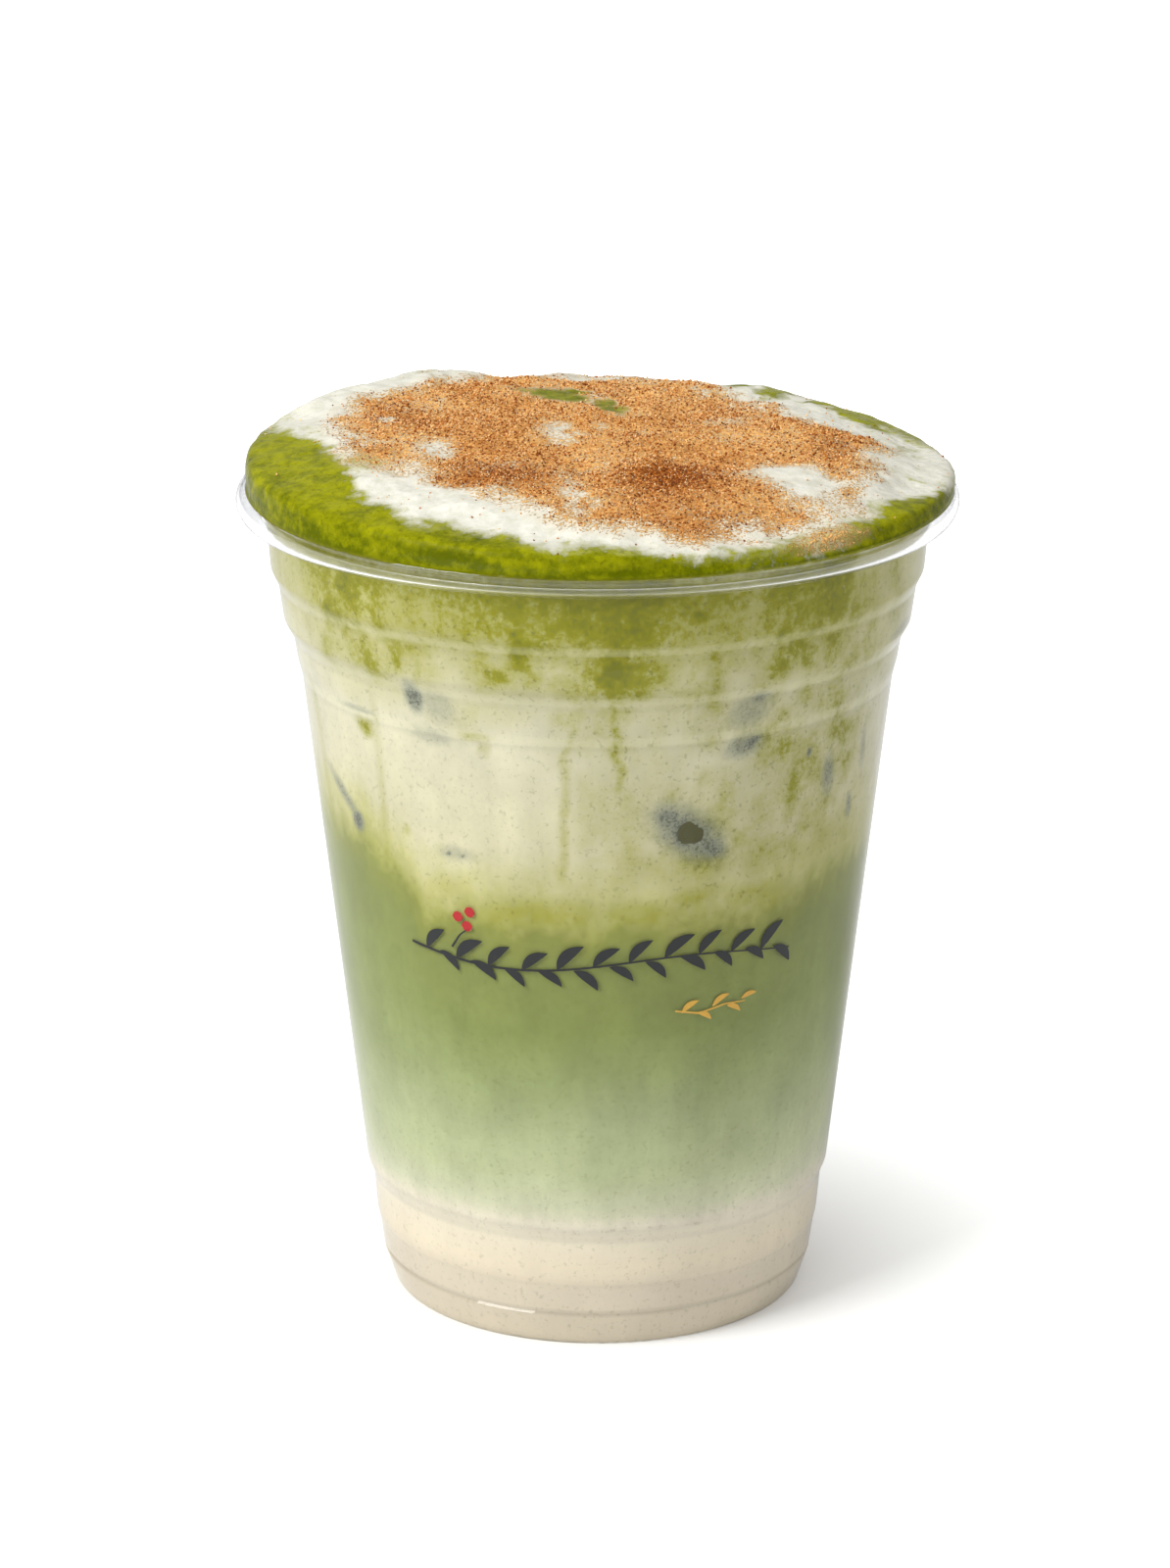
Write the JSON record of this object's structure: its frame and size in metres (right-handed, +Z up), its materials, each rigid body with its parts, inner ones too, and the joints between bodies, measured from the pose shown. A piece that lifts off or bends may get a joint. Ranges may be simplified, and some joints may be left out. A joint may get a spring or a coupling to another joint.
{
  "type": "iced matcha latte in a takeaway cup",
  "caption": "Layered iced matcha milk drink in a clear rolled-rim tumbler, topped by a foam cap that swells over the rim with a brown spice dusting.",
  "frame": {"origin": "centre of the cup's resting ring on the table", "axes": "+Z up along the cup's axis, front (shown side) towards -Y, +X to the viewer's right"},
  "size_m": [0.098, 0.098, 0.1216],
  "materials": {
    "clear_plastic": "clear thin moulded plastic",
    "milk": "smooth beige milk",
    "matcha": "smooth sage green matcha milk with fine specks",
    "cream": "cream milk marbled with green",
    "foam": "soft moist milk foam marbled with matcha",
    "ice": "cloudy wet ice",
    "spice": "fine brown spice and sugar grains",
    "print": "thin printed ink"
  },
  "bodies": {
    "root": {"cup": "clear_plastic", "milk_base": "milk", "matcha_milk": "matcha", "cream_milk": "cream", "foam_cap": "foam"}
  },
  "joints": []
}
